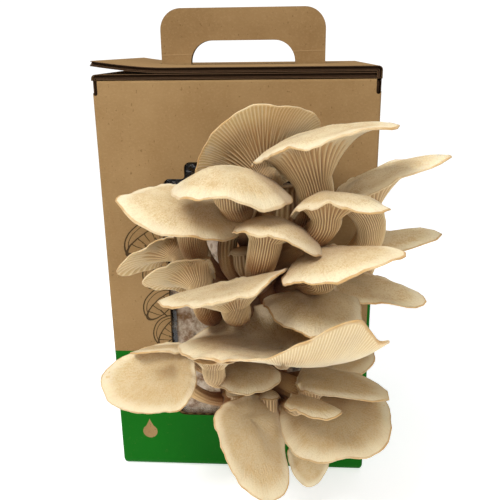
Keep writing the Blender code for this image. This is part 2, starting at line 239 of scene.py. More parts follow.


# Every mushroom in mm and degrees, placed as in the solid model.
#   hub, turn (heading, rise, roll), size (ahead, behind, left, right), bend (same four places),
#   stem (radius at the cap, at the foot), root (knot, azimuth, elevation)
# Where it differs from most, also:
#   deep, flare (how far the underside runs down to the stem, how sharply), curl (turned-down rim)
#   square (2 for an oval cap, more for a squarer one), fold (how sharply its sides bend)
#   lead, land (how straight the stem leaves the cap and meets the knot)
#   gills (pairs), blade (their height), run (how much of the stem they go down)
#    dip (at the hub), dark (painted shade round it), tone (0 warm, 1 grey)
#   flaps, folds (direction, spread and rise or depth of a raised rim or a crease)
mushrooms = {
    "top_fan": dict(hub=(16, -103, 234), turn=(30, 58, 4), size=(44, 12, 39, 38),
                    bend=(-3, 2, -4, -5), stem=(9, 6.5), root=("upper", -10, 62),
                    deep=9, square=2.4, gills=62, blade=1.7),
    "big_trumpet": dict(hub=(39, -143, 258), turn=(72, 16, -6), size=(51, 30, 25, 24),
                        bend=(6, 8, 0, 2), stem=(10.5, 7), root=("upper", 60, 62),
                        deep=24, flare=2.3, lead=0.25, gills=46, blade=2.4, run=0.9),
    "upper_dome": dict(hub=(4, -151, 243), turn=(-8, -2, 4), size=(30, 15, 31, 33),
                       bend=(9, 4, 13, 14), stem=(10, 7), root=("upper", -20, 62), lead=0.0),
    "left_tongue": dict(hub=(-18, -131, 221), turn=(-62, 9, 20), size=(45, 36, 20, 30),
                        bend=(3, -6, 2, 6), stem=(9, 6.5), root=("upper", -64, 20), lead=0.2,
                        dark=0.5),
    "small_umbrella": dict(hub=(53, -160, 232), turn=(66, 2, 2), size=(32, 19, 17, 14),
                           bend=(5, 13, 3, 3), stem=(8, 6), root=("upper", 20, 45),
                           lead=0.1, land=0.2, gills=34),
    "high_blade": dict(hub=(68, -123, 228), turn=(72, 29, -12), size=(56, 14, 18, 18),
                       bend=(8, 2, 3, 2), stem=(9, 6.5), root=("upper", 66, 24),
                       deep=18, lead=0.35, gills=44),
    "middle_dome": dict(hub=(24, -159, 218), turn=(-16, 4, 8), size=(19, 15, 18, 31),
                        bend=(4, 3, 9, 11), stem=(9, 6.5), root=("upper", -5, 28),
                        deep=10, curl=1, lead=0.2, run=0.9),
    "low_blade": dict(hub=(80, -95, 186), turn=(78, 15, -25), size=(47, 6, 11, 12),
                      bend=(5, 1, 3, 2), stem=(4.5, 4), root=("upper", 76, -8), gills=30),
    "right_shell": dict(hub=(47, -164, 200), turn=(52, 17, -14), size=(51, 14, 25, 15),
                        bend=(5, 2, 2, 2), stem=(8, 6.5), root=("upper", 40, 22),
                        lead=0.05, land=0.1),
    "left_leaf": dict(hub=(-39, -97, 185), turn=(-80, -24, -50), size=(41, 6, 10, 14),
                      bend=(2, 2, 2, 2), stem=(4.8, 5), root=("upper", -84, -2), gills=44),
    "gill_shell": dict(hub=(-20, -125, 177), turn=(-80, -8, -54), size=(32, 10, 14, 20),
                       bend=(2, 2, 3, 4), stem=(7, 6), root=("upper", -58, -12), gills=44,
                       blade=1.3),
    "bright_shell": dict(hub=(3, -165, 183), turn=(-8, 2, -13), size=(26, 11, 40, 32),
                         bend=(-1, 0, 1, -5), stem=(8, 7), root=("upper", -18, 6),
                         flare=1.4, lead=0.1, gills=58),
    "folded_bowl": dict(hub=(32, -162, 145), turn=(-32, 8, -3), size=(42, 24, 66, 58),
                        bend=(-6, -11, 8, -22), stem=(6, 9), root=("upper", 8, -20),
                        deep=5, curl=1.5, flare=1.3, lead=0.0,
                        flaps=[(56, 27, 21), (96, 16, -8), (-48, 34, -5), (-125, 40, 6)],
                        fold=4.5, square=2.5, gills=104, blade=1.5, dip=1, dark=0.5, tone=0),
    "inner_shell": dict(hub=(49, -142, 170), turn=(14, -12, 4), size=(33, 8, 31, 27),
                        bend=(4, 2, 4, 5), stem=(5, 4), root=("upper", 44, -36),
                        lead=0.05, land=0.15),
    "right_wing": dict(hub=(71, -117, 168), turn=(72, -8, -22), size=(47, 10, 15, 14),
                       bend=(-1, 1, -1, 2), stem=(5, 4), root=("upper", 78, -38), gills=36),
    "corner_saucer": dict(hub=(-38, -125, 110), turn=(-84, -8, 46), size=(47, 14, 18, 27),
                          bend=(-2, 0, -2, -2), stem=(5, 4), root=("lower", -66, -8), lead=0.3,
                          dip=1.5, dark=0.55, tone=0.8),
    "corner_sliver": dict(hub=(-27, -111, 121), turn=(-70, 6, -12), size=(40, 10, 13, 9),
                          bend=(3, 1, 2, 1), stem=(4, 3.5), root=("lower", -74, 32),
                          deep=8, lead=0.1, gills=28, tone=0.7),
    "little_trumpet": dict(hub=(-10, -140, 131), turn=(-20, 5, 0), size=(16, 12, 19, 18),
                           bend=(0, 0, 0, 0), stem=(7, 5), root=("lower", -38, 42),
                           deep=9, curl=0.5, flare=1.4, lead=0.2, gills=44, tone=0.5),
    "small_button": dict(hub=(7, -129, 115), turn=(-4, -12, 2), size=(18, 12, 18, 23),
                         bend=(4, 2, 5, 4), stem=(4.5, 3.5), root=("lower", -12, 34),
                         lead=0.15, gills=30, tone=0.6),
    "low_shelf": dict(hub=(47, -125, 107), turn=(66, 3, -12), size=(49, 9, 10, 18), square=1.7,
                      bend=(4, 2, 2, 2), stem=(8, 7), root=("lower", 30, 46), lead=0.1,
                      gills=30, tone=0.8),
    "back_shelf": dict(hub=(66, -105, 116), turn=(60, 2, -22), size=(25, 20, 18, 16),
                       bend=(2, 2, 3, 2), stem=(4, 3.5), root=("lower", 70, 34), lead=0.2,
                       gills=26, tone=0.9),
    "small_point": dict(hub=(40, -157, 112), turn=(56, 4, 6), size=(28, 6, 11, 9),
                        bend=(2, 1, 2, 2), stem=(3.5, 3.5), root=("lower", 38, 8),
                        deep=6, lead=0.05, land=0.15, gills=24, tone=0.7),
    "low_fan": dict(hub=(63, -133, 92), turn=(4, -26, -9), size=(34, 12, 35, 33),
                    bend=(3, 2, 5, 2), stem=(5.5, 4), root=("lower", 62, -20),
                    curl=2, square=3.0, lead=0.2, tone=0.9, dark=0.5),
    "low_tongue": dict(hub=(11, -137, 84), turn=(32, -52, 8), size=(50, 14, 26, 26),
                       bend=(-1, 2, -3, 5), stem=(6, 4.5), root=("lower", -8, -14),
                       square=2.2, lead=0.3, tone=0.9, dark=0.3, folds=[(38, 26, 3)]),
    "under_tongue": dict(hub=(49, -117, 45), turn=(8, -60, 0), size=(22, 8, 14, 13),
                         bend=(2, 1, 2, 2), stem=(4, 3.5), root=("lower", 28, -48), lead=0.3,
                         gills=24, tone=0.7),
}
# half-grown mushrooms that fill the middle of the clusters
pins = {
    "pin_upper_left": dict(hub=(-2, -107, 196), turn=(-30, 20, 0), size=(13, 9, 11, 11),
                           bend=(3, 3, 3, 3), stem=(6, 7), root=("upper", -34, 30)),
    "pin_upper_middle": dict(hub=(7, -120, 190), turn=(5, 14, 0), size=(10, 8, 9, 9),
                             bend=(3, 3, 3, 3), stem=(6, 7), root=("upper", -6, 44)),
    "pin_upper_right": dict(hub=(34, -112, 198), turn=(30, 30, 0), size=(12, 9, 10, 10),
                            bend=(3, 3, 3, 3), stem=(7, 8), root=("upper", 30, 50)),
    "pin_upper_high": dict(hub=(31, -110, 222), turn=(10, 40, 0), size=(13, 9, 12, 11),
                           bend=(3, 3, 3, 3), stem=(8, 9), root=("upper", 20, 70)),
    "pin_leaf": dict(hub=(-16, -112, 186), turn=(-60, 25, 10), size=(7, 5, 5, 5),
                     bend=(2, 2, 2, 2), stem=(3, 3.5), root=("upper", -60, 18)),
    "pin_lower_left": dict(hub=(2, -116, 94), turn=(-20, 10, 0), size=(8, 6, 8, 8),
                           bend=(3, 2, 2, 2), stem=(4, 5), root=("lower", -20, 20)),
    "pin_lower_middle": dict(hub=(22, -117, 92), turn=(10, 20, 0), size=(7, 7, 7, 7),
                             bend=(3, 3, 3, 3), stem=(5.5, 7), root=("lower", 14, 24)),
    "pin_lower_right": dict(hub=(34, -118, 84), turn=(30, 0, 0), size=(7, 6, 6, 6),
                            bend=(3, 3, 3, 3), stem=(4, 4), root=("lower", 34, 6)),
}
knots = {"upper": ((17, -76, 143), (25, 28, 36)), "lower": ((12, -76, 68), (24, 22, 20))}


def capFrame(turn):
    heading, rise, roll = (math.radians(angle) for angle in turn)
    ahead = np.array([math.sin(heading) * math.cos(rise), -math.cos(heading) * math.cos(rise),
                      math.sin(rise)])
    level = np.array([math.cos(heading), math.sin(heading), 0.0])
    up = np.cross(ahead, level)
    right = level * math.cos(roll) - up * math.sin(roll)
    return ahead, right, up * math.cos(roll) + level * math.sin(roll)


def rootPoint(root, sunk):
    # foot of a stem, sunk into its knot, and the way it grows
    name, azimuth, elevation = root
    centre, half = (np.array(value, float) for value in knots[name])
    azimuth, elevation = math.radians(azimuth), math.radians(elevation)
    way = np.array([math.sin(azimuth) * math.cos(elevation),
                    -math.cos(azimuth) * math.cos(elevation), math.sin(elevation)])
    outward = way / half
    outward /= np.linalg.norm(outward)
    return centre + half * way - outward * sunk, outward


def turnAbout(vector, axis, angle):
    return (vector * math.cos(angle) + np.cross(axis, vector) * math.sin(angle)
            + axis * (axis @ vector) * (1 - math.cos(angle)))


# waves round a rim, by how many go round: in and out as a share of its radius, up and down in mm
rimWaves = {2: (0.010, 0.0), 3: (0.014, 0.7), 4: (0.012, 0.6), 5: (0.010, 0.7), 7: (0.010, 0.6),
            11: (0.007, 0.45), 17: (0.006, 0.3), 29: (0.005, 0.2)}
growth = {"capRings": 22, "gillRings": 26, "swell": (26, 0.55), "pits": (9, 0.12),
          "twist": 0.02, "fibre": 0.22, "sunk": 4.0, "footFlare": 1.6, "stepLength": 4}


def growMushroom(name, finish, hub, turn, size, bend, stem, root, deep=12, flare=2.0, curl=1.5,
                 square=2.0, lead=0.4, land=0.35, edge=1.0, gills=40, blade=1.5,
                 run=0.55, dip=0.0, dark=0.3, tone=0.2, folds=(), flaps=(), fold=2.0,
                 pin=False):
    rng = np.random.default_rng(seedOf(name))
    hub = np.array(hub, float)
    ahead, right, up = capFrame(turn)
    # six points to each pair of gills: long gill, floor, floor, short gill, floor, floor
    across = np.array([0.0, 0.14, 0.36, 0.5, 0.64, 0.86])
    angle = (np.arange(gills)[:, None] + across).ravel() * 2 * math.pi / gills
    longGill = np.tile([1.0, 0, 0, 0, 0, 0], gills)
    shortGill = np.tile([0, 0, 0, 1.0, 0, 0], gills)
    rib = np.tile([1.0, 0.8, 0.25, 0, 0.25, 0.8], gills)      # their rounder shape on a stem
    lengths = np.repeat(rng.uniform(0.25, 0.6, gills), 6)
    small = min(size[0], 30) / 30

    def shapeAt(part, angle):
        # ring of the cap's top at part of the way out: radius, height
        cos, sin = np.cos(angle), np.sin(angle)
        length = np.where(cos >= 0, size[0], size[1])
        width = np.where(sin >= 0, size[3], size[2])
        margin = (abs(cos / length) ** square + abs(sin / width) ** square) ** (-1 / square)
        margin = margin * (1 + ragged(angle))
        dropX = np.where(cos >= 0, bend[0], bend[1])
        dropY = np.where(sin >= 0, bend[3], bend[2])
        x, y = margin * cos * part / length, margin * sin * part / width
        level = -dropX * x * x - dropY * abs(y) ** fold - curl * part ** 6
        for middle, spread, rise in flaps:
            off = (np.degrees(angle) - middle + 180) % 360 - 180
            level = level + rise * np.exp(-(off / spread) ** 2) * part ** (fold + 1)
        level = level + frill(angle) * part ** 5 * small - dip * np.exp(-(part / 0.16) ** 2)
        for middle, spread, depth in folds:
            off = (np.degrees(angle) - middle + 180) % 360 - 180
            level = level - depth * np.exp(-(off / spread) ** 2) * np.sin(part * 2.6)
        return margin, level

    starts = {count: rng.uniform(0, 6.28) for count in rimWaves}

    def ragged(angle):
        return sum(wide * np.cos(count * angle + starts[count])
                   for count, (wide, _) in rimWaves.items()) - 0.012

    def frill(angle):
        return sum(high * np.cos(count * angle + 2 * starts[count])
                   for count, (_, high) in rimWaves.items())

    def ring(angle, radius, level):
        return hub + np.outer(radius * np.cos(angle), ahead) \
            + np.outer(radius * np.sin(angle), right) + np.outer(level, up)

    rings, marks = [], []

    def addRing(points, angle, reach, under, ridge, down):
        count = len(points)
        rings.append(points)
        marks.append(np.column_stack([np.cos(angle), np.sin(angle), np.full(count, reach),
                                      np.full(count, under), np.broadcast_to(ridge, count),
                                      np.full(count, down)]))

    coarse = angle[::3]
    (swellSize, swell), (pitSize, pit) = growth["swell"], growth["pits"]
    for part in 1 - (1 - np.linspace(0.05, 1, growth["capRings"])) ** 1.35:
        margin, level = shapeAt(np.full(len(coarse), part), coarse)
        points = ring(coarse, margin * part, level)
        soft = ripples(points, np.random.default_rng(seedOf(name) + 5), swellSize) * swell * small
        soft += ripples(points, np.random.default_rng(seedOf(name) + 9), pitSize) * pit
        points += np.outer(soft * band(part, 0.0, 0.2) * (1 - 0.4 * part), up)
        addRing(points, coarse, part, 0.0, 1.0, 0.0)
    lip = edge * 0.5
    for turnOver in (0.3, 0.6, 0.85):
        margin, level = shapeAt(np.ones(len(coarse)), coarse)
        bulge = math.sin(turnOver * math.pi) * lip * 0.8
        fall = (1 - math.cos(turnOver * math.pi)) * lip
        addRing(ring(coarse, margin + bulge, level - fall), coarse, 1.0, turnOver * 0.5, 1.0, 0.0)

    def gillCut(part, along):
        # how far the gill floor is set back, and how much of a ridge each point is
        shortPart = band(part, lengths - 0.12, lengths + 0.12) * (1 - band(along, 0.0, 0.1))
        ridge = np.clip(longGill + shortGill * shortPart, 0, 1)
        ridge = ridge + (rib - ridge) * band(1 - part, 0.45, 0.95)
        depth = blade * band(1 - part, 0.0, 0.16) * (0.35 + 0.65 * band(part, -0.2, 0.5))
        return depth * (1 - band(along, 0.15, run)), ridge

    wiggle = ripples(np.column_stack([np.cos(angle), np.sin(angle), 0 * angle]) * 10, rng, 6)
    for part in np.linspace(0.985, 0.0, growth["gillRings"]):
        spun = angle + wiggle * growth["twist"] * math.sin(part * 3.1)
        margin, _ = shapeAt(np.ones(len(angle)), spun)
        radius = stem[0] + (margin - stem[0]) * part
        _, level = shapeAt(radius / margin, spun)
        depth, ridge = gillCut(part, 0.0)
        thick = edge + deep * (1 - part) ** flare
        floor = np.minimum(depth * (1 - ridge), thick * 0.6)
        level = level - thick
        points = ring(spun, radius, level)
        lift = np.outer(floor * (0.35 + 0.65 * band(part, 0.05, 0.3)), up)
        inward = np.outer(floor * (1 - band(part, 0.0, 0.3)), [1, 1, 1]) \
            * (np.outer(np.cos(spun), ahead) + np.outer(np.sin(spun), right))
        addRing(points + lift - inward, spun, part, 1.0, ridge, 0.0)

    margin, _ = shapeAt(np.ones(len(angle)), angle)
    _, level = shapeAt(stem[0] / margin, angle)
    start = hub + up * (level.mean() - edge - deep)
    foot, outward = rootPoint(root, growth["sunk"])
    reach = np.linalg.norm(foot - start)
    leave, arrive = start - up * reach * lead, foot + outward * reach * land
    sideA, sideB, before = ahead, right, -up
    steps = max(10, int(reach / growth["stepLength"]))
    fibres = ripples(np.column_stack([np.cos(angle), np.sin(angle), 0 * angle]) * 10, rng, 5)
    for step in range(1, steps + 1):
        t = step / steps
        s = 1 - t
        point = s ** 3 * start + 3 * s * s * t * leave + 3 * s * t * t * arrive + t ** 3 * foot
        way = s * s * (leave - start) + 2 * s * t * (arrive - leave) + t * t * (foot - arrive)
        way /= np.linalg.norm(way)
        axis = np.cross(before, way)
        bent = np.linalg.norm(axis)
        if bent > 1e-9:
            between = math.atan2(bent, before @ way)
            sideA = turnAbout(sideA, axis / bent, between)
            sideB = turnAbout(sideB, axis / bent, between)
        before = way
        here = angle if t <= run else coarse
        depth, ridge = gillCut(0.0, t)
        radius = stem[0] + (stem[1] - stem[0]) * t + growth["footFlare"] * band(t, 0.7, 1.0)
        radius = radius + (fibres if t <= run else fibres[::3]) * growth["fibre"]
        if t <= run:
            radius = radius - depth * (1 - ridge)
        else:
            ridge = 1.0
        addRing(point + (radius * (np.outer(np.cos(here), sideA).T
                                   + np.outer(np.sin(here), sideB).T)).T,
                here, 0.0, 1.0, ridge, t)

    verts = [hub - up * dip] + [p for points in rings for p in points] + [foot]
    marks = np.vstack([[[1, 0, 0, 0, 1, 0]]] + marks + [[[1, 0, 0, 1, 1, 1]]])
    faces, offset = [], 1
    count = len(rings[0])
    faces += [(0, offset + i, offset + (i + 1) % count) for i in range(count)]
    for upper, lower in zip(rings, rings[1:]):
        faces += bridge(offset, len(upper), offset + len(upper), len(lower))
        offset += len(upper)
    count, last = len(rings[-1]), len(verts) - 1
    faces += [(offset + i, last, offset + (i + 1) % count) for i in range(count)]
    makePiece("visual_" + name, np.array(verts) * mm, faces, finish,
              attributes={"around": marks[:, :3], "reach": marks[:, 2], "under": marks[:, 3],
                          "ridge": marks[:, 4], "stem": marks[:, 5],
                          "tone": np.full(len(marks), tone), "dark": np.full(len(marks), dark)},
              replaced=() if pin else ("mushroom_" + name,))


def bridge(first, countA, second, countB):
    # faces between two rings, which may differ threefold in how many points they have
    if countA == countB:
        return [(first + i, second + i, second + (i + 1) % countA, first + (i + 1) % countA)
                for i in range(countA)]
    faces = []
    if countB == 3 * countA:
        for i in range(countA):
            a, b = first + i, first + (i + 1) % countA
            c = [second + (3 * i + k) % countB for k in range(4)]
            faces += [(a, c[0], c[1]), (a, c[1], c[2], b), (b, c[2], c[3])]
    else:
        for i in range(countB):
            a, b = second + i, second + (i + 1) % countB
            c = [first + (3 * i + k) % countA for k in range(4)]
            faces += [(c[0], a, c[1]), (c[1], a, b, c[2]), (c[2], b, c[3])]
    return faces


flesh = mushroomFinish()
for name, shape in mushrooms.items():
    growMushroom(name, flesh, **shape)
for name, shape in pins.items():
    growMushroom(name, flesh, gills=16, blade=0.5, edge=0.8, deep=4, dark=0.6, tone=0.4, pin=True,
                 **shape)
print("mushrooms grown:", len(mushrooms))


def growKnot(name, finish):
    centre, half = (np.array(value, float) for value in knots[name])
    builder = bmesh.new()
    bmesh.ops.create_icosphere(builder, subdivisions=5, radius=1.0)
    points = np.array([v.co[:] for v in builder.verts])
    faces = [[v.index for v in face.verts] for face in builder.faces]
    builder.free()
    rng = np.random.default_rng(seedOf(name))
    spots = points * half * 1.1
    swell = ripples(spots, rng, 15) * 2.0 + ripples(spots, rng, 6) * 0.9
    spots = centre + spots * (1 + (swell / half.mean())[:, None])
    spots[:, 1] = np.minimum(spots[:, 1], -69.5)
    count = len(spots)
    # the knots take the stems' painted shade at the foot, through stem set near 1
    makePiece("visual_" + name + "_knot", spots * mm, faces, finish,
              attributes={"around": points, "reach": np.full(count, 0.5),
                          "under": np.ones(count), "ridge": np.ones(count),
                          "stem": np.full(count, 0.85), "tone": np.full(count, 0.1),
                          "dark": np.zeros(count)},
              replaced=(name + "_knot",))


for name in knots:
    growKnot(name, flesh)
print("knots done")


def substrateFinish():
    look = {"white": tint(206, 190, 168), "straw": tint(116, 82, 48), "dark": tint(30, 19, 12),
            "blue": tint(150, 138, 140)}
    block = Finish("grownSubstrate", Roughness=0.8, Subsurface_Weight=0.1,
                   Subsurface_Scale=0.002)
    here = block.place()
    patches = block.noise(here, 85.0, 6.0, 0.75)
    bits = block.node("TexVoronoi", {"feature": "F1"},
                      {"Vector": block.place((1, 1, 0.45)), "Scale": 240.0})
    colour = block.mix(patches.step(0.36, 0.66), look["straw"], look["white"])
    # painted shade: bluish-grey patches strewn at random over the block
    colour = block.mix(block.noise(here, 21.0).step(0.5, 0.7) * 0.4, colour, look["blue"])
    colour = block.mix((1 - bits.step(0.12, 0.3)) * patches.step(0.35, 0.6) * 0.6, colour,
                       look["straw"])
    colour = block.mix(block.noise(here, 90.0, 4.0).step(0.6, 0.72) * 0.8, colour, look["dark"])
    block.feed(Base_Color=colour, Normal=block.bump(patches + bits * 0.4, 0.0012, 0.8))
    return block


def roundedBox(low, high, radius, cuts):
    # verts and faces of an even grid round a box whose edges are rounded
    builder = bmesh.new()
    bmesh.ops.create_cube(builder, size=2.0)
    bmesh.ops.subdivide_edges(builder, edges=list(builder.edges), cuts=cuts, use_grid_fill=True)
    points = np.array([v.co[:] for v in builder.verts])
    faces = [[v.index for v in face.verts] for face in builder.faces]
    builder.free()
    low, high = np.array(low, float), np.array(high, float)
    middle, half = (low + high) / 2, (high - low) / 2
    flat = points * half
    core = np.clip(flat, -half + radius, half - radius)
    off = flat - core
    length = np.linalg.norm(off, axis=1, keepdims=True)
    normal = off / np.maximum(length, 1e-9)
    spots = np.where(length > 1e-9, core + normal * radius, flat)
    return spots + middle, faces, normal


blockBox = [np.array(corner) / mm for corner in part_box("substrate_block")]
spots, faces, normal = roundedBox(blockBox[0], blockBox[1], 8, 64)
rng = np.random.default_rng(31)
dent = 0.8 + ripples(spots, rng, 22) * 0.55 + ripples(spots, rng, 7) * 0.3
spots = spots - normal * np.clip(dent, 0.05, 2.2)[:, None]
makePiece("visual_substrate_block", spots * mm, faces, substrateFinish(),
          replaced=("substrate_block",))


def filmFinish():
    look = {"clear": tint(186, 172, 152), "shadow": tint(26, 19, 13),
            "tab": (0.190, 0.216), "sides": (0.038, 0.046)}     # where the shadow behind it starts
    film = Finish("clearFilm", Roughness=0.12, IOR=1.45, Alpha=0.22, Specular_IOR_Level=0.8)
    here = film.place()
    creases = film.noise(here, 90.0, 3.0, 0.5)
    x, _, z = film.axes(here)
    patchy = film.noise(here, 45.0, 3.0).step(0.38, 0.52)
    # painted shadow: the film is darker and more opaque at the tab and in patches down the window's
    # sides
    paintedShadow = (z.step(*look["tab"]) + x.math("ABSOLUTE").step(*look["sides"]) * patchy).clamp()
    film.feed(Normal=film.bump(creases, 0.002, 0.6),
              Base_Color=film.mix(paintedShadow, look["clear"], look["shadow"]),
              Alpha=0.14 + creases.step(0.45, 0.8) * 0.2 + paintedShadow * 0.7)
    return film


# the film keeps its shape from the solid model
film = bpy.data.objects["grow_bag"].data
film.materials.clear()
film.materials.append(filmFinish().material)
print("block and film done")


# the carton in mm
carton = {
    "width": 180.0, "depth": 150.0, "height": 283.0, "board": 3.2, "liner": 0.42, "pitch": 6.6,
    "fold": 2.0, "foot": 5.4,                     # radii of the upright edges and round the foot
    "lean": 1.4, "flapGap": 0.6, "lidFold": 2.6,  # the folded tops, and the air between flaps
    "lidEnds": (-86.5, -89.6), "lift": 4.5, "liftFrom": -45.0,      # the upper flap's free end
    "slot": (1.2, 1.0),                           # room round the handle in the lid
    "window": (48.0, 45.0, 221.0, 8.0),           # half width, bottom, top, lower radius
    "tab": (34.0, 232.0, 4.0),                    # half width, top, radius
    # the handle's width, top, strip above the hole, leg beside it, outer and inner radius
    "handle": (118.0, 329.0, 22.0, 21.5, 15.0, 15.0),
    "notch": [(3.4, -8.0), (2.8, -8.9), (1.8, -9.2), (0.9, -8.8), (0.4, -7.6), (-4, -7.0),
              (-4, 4), (3.4, 4)],                 # in from the side, up from the top
    "band": (96.4, 198.0),                        # top of the green: on the front, elsewhere
}


def kraftFinish():
    look = {"board": tint(152, 122, 82), "light": tint(172, 142, 102), "dark": tint(141, 111, 72),
            "fibre": tint(104, 76, 44), "green": tint(0, 94, 4), "line": tint(40, 28, 18)}
    kraft = Finish("kraftBoard", Roughness=0.82, Specular_IOR_Level=0.1)
    here = kraft.node("TexCoord", out=3)
    cloud = kraft.noise(here, 26.0, 5.0, 0.6)
    fibre = kraft.noise(kraft.place((520, 520, 760), here), 1.0, 4.0, 0.75)
    fleck = kraft.noise(kraft.place((700, 700, 420), here), 1.0, 1.0, 0.5)
    colour = kraft.mix(cloud.step(0.3, 0.7), look["dark"], look["board"])
    colour = kraft.mix(fibre.step(0.45, 0.8) * 0.45, colour, look["light"])
    colour = kraft.mix(fleck.step(0.70, 0.78) * 0.55, colour, look["fibre"])
    kraft.here, kraft.look, kraft.base = here, look, colour
    kraft.grain = (fibre - 0.5) * 0.5 + (fleck - 0.5) * 0.35
    return kraft


def ellipse(x, z, middleX, middleZ, halfX, halfZ):
    # 1 on the ellipse, less inside, more outside
    dx, dz = (x - middleX) / halfX, (z - middleZ) / halfZ
    return (dx * dx + dz * dz) ** 0.5


def printedFinish():
    # the walls: kraft with a green band, a water drop and line-drawn mushrooms
    sketch = {"width": 0.00042, "gills": 11.0, "caps": [
        dict(middle=(-0.0600, 0.1795), half=(0.0185, 0.0125), tilt=0.60),
        dict(middle=(-0.0535, 0.1560), half=(0.0135, 0.0115), tilt=0.95),
        dict(middle=(-0.0530, 0.1320), half=(0.0150, 0.0120), tilt=0.75),
        dict(middle=(-0.0490, 0.1120), half=(0.0130, 0.0110), tilt=0.95),
    ]}
    kraft = kraftFinish()
    x, y, z = kraft.axes(kraft.here)
    halfW, halfD = carton["width"] / 2, carton["depth"] / 2
    bandFront, bandSides = (level * mm for level in carton["band"])
    front = y < -(halfD - 1.5) * mm
    sides = (x.math("ABSOLUTE") > (halfW - 1.5) * mm) * (1 - front)
    level = z + (kraft.noise(kraft.here, 300.0, 1.0) - 0.5) * 0.0003
    folded = (sides + (x > (halfW - 2.2) * mm)).clamp()
    green = ((level < bandFront) + folded * (level < bandSides)).clamp()

    drop = {"x": -0.068, "z": 0.0300, "round": 0.0054, "top": 0.0410}
    dx, dz = (x - drop["x"]).math("ABSOLUTE"), z - drop["z"]
    ball = (dx * dx + dz * dz) ** 0.5 < drop["round"]
    height = drop["top"] - drop["z"]
    cone = (dx < (height - dz) ** 1.25 * 1.62) * (dz > 0.0015) * (dz < height)
    green = green * (1 - (ball + cone).clamp() * front)

    lines = None
    for cap in sketch["caps"]:
        # a cap's dome, the open underside with its gill lines, and the stem
        (cx, cz), (hx, hz), tilt = cap["middle"], cap["half"], cap["tilt"]
        cos, sin = math.cos(tilt), math.sin(tilt)
        wobble = (kraft.noise(kraft.here, 130.0, 1.0) - 0.5) * 0.0012
        u = (x - cx) * cos + (z - cz) * sin + wobble
        v = (z - cz) * cos - (x - cx) * sin + wobble
        thin = sketch["width"] / hz
        dome, mouth = ellipse(u, v, 0, 0, hx, hz), ellipse(u, v, 0, 0, hx, hz * 0.42)
        inner = ellipse(u, v, 0, 0, hx * 0.86, hz * 0.80)
        above = v > 0
        drawn = ((dome - 1).math("ABSOLUTE") < thin) * above
        drawn = drawn + ((inner - 1).math("ABSOLUTE") < thin * 0.7) * above * (mouth > 1)
        drawn = drawn + ((mouth - 1).math("ABSOLUTE") < thin * 2.2)
        fan = u.math("ARCTAN2", v + hz * 1.15)
        rays = (fan * sketch["gills"]).math("SINE").math("ABSOLUTE") < 0.2
        throat = ellipse(u, v, 0, -hz * 0.5, hx * 0.3, hz * 0.4)
        drawn = drawn + rays * (mouth < 0.95) * (throat > 1)
        stalk = (u.math("ABSOLUTE") - hx * 0.24).math("ABSOLUTE") < sketch["width"] * 1.1
        drawn = drawn + stalk * (v < -hz * 0.1) * (v > -hz * 1.1)
        one = drawn.clamp()
        lines = one if lines is None else lines * (dome * above + (1 - above) * 2 > 1) + one
    lines = lines.clamp() * front * (z > bandFront)

    wear = kraft.noise(kraft.here, 420.0, 2.0, 0.7).step(0.62, 0.8)
    colour = kraft.mix(green * (1 - wear * 0.1), kraft.base, kraft.look["green"])
    colour = kraft.mix(lines * 0.85, colour, kraft.look["line"])
    turns = 2 * math.pi / (carton["pitch"] * mm)
    flutes = (x * turns).math("SINE") * front + (y * turns).math("SINE") * sides
    height = kraft.grain + flutes * 0.05
    kraft.feed(Base_Color=colour, Normal=kraft.bump(height, 0.0003, 0.5),
               Roughness=0.8 - green * 0.22)
    return kraft


def plainFinish():
    kraft = kraftFinish()
    x, _, z = kraft.axes(kraft.here)
    fold = {"height": 0.2982, "slope": 0.02, "half": 0.0007}      # a crease across the handle
    off = (z - fold["height"] - x * fold["slope"]).math("ABSOLUTE")
    crease = (1 - off / fold["half"]).clamp()
    # painted highlight: a lighter line along the crease, beside its dent in the bump
    kraft.feed(Base_Color=kraft.mix(crease * 0.35, kraft.base, kraft.look["light"]),
               Normal=kraft.bump(kraft.grain + crease * 0.8, 0.0003, 0.5))
    return kraft


def edgeFinish():
    # the corrugated middle and every cut edge: darker, as painted shade
    core = Finish("fluteCore", Roughness=0.9)
    here = core.place()
    fibre = core.noise(here, 600.0, 3.0, 0.7)
    core.feed(Base_Color=core.mix(fibre, tint(46, 30, 14), tint(92, 62, 32)),
              Normal=core.bump(fibre, 0.0002, 0.5))
    return core


def lattice(us, vs, top, bottom, place, closedU=False, keep=None):
    # a closed sheet on a grid: two skins at depth top and bottom, joined along every open side
    nu, nv = len(us), len(vs)
    verts = []
    for depth in (top, bottom):
        for u in us:
            for v in vs:
                verts.append(place(u, v, depth(u) if callable(depth) else depth))
    lastU = nu if closedU else nu - 1

    def cell(i, j):
        return keep is None or keep(i, j)

    def at(i, j, side):
        return side * nu * nv + (i % nu) * nv + j

    skins, rims = [], []
    for i in range(lastU):
        for j in range(nv - 1):
            if not cell(i, j):
                continue
            skins.append((at(i, j, 0), at(i + 1, j, 0), at(i + 1, j + 1, 0), at(i, j + 1, 0)))
            skins.append((at(i, j, 1), at(i, j + 1, 1), at(i + 1, j + 1, 1), at(i + 1, j, 1)))
            left = (closedU or i > 0) and cell((i - 1) % nu if closedU else i - 1, j)
            right = (closedU or i < lastU - 1) and cell((i + 1) % nu if closedU else i + 1, j)
            front, back = j > 0 and cell(i, j - 1), j < nv - 2 and cell(i, j + 1)
            for joined, p, q in ((left, (i, j), (i, j + 1)),
                                 (right, (i + 1, j + 1), (i + 1, j)),
                                 (front, (i + 1, j), (i, j)),
                                 (back, (i, j + 1), (i + 1, j + 1))):
                if not joined:
                    rims.append((at(*p, 0), at(*q, 0), at(*q, 1), at(*p, 1)))
    return verts, skins, rims


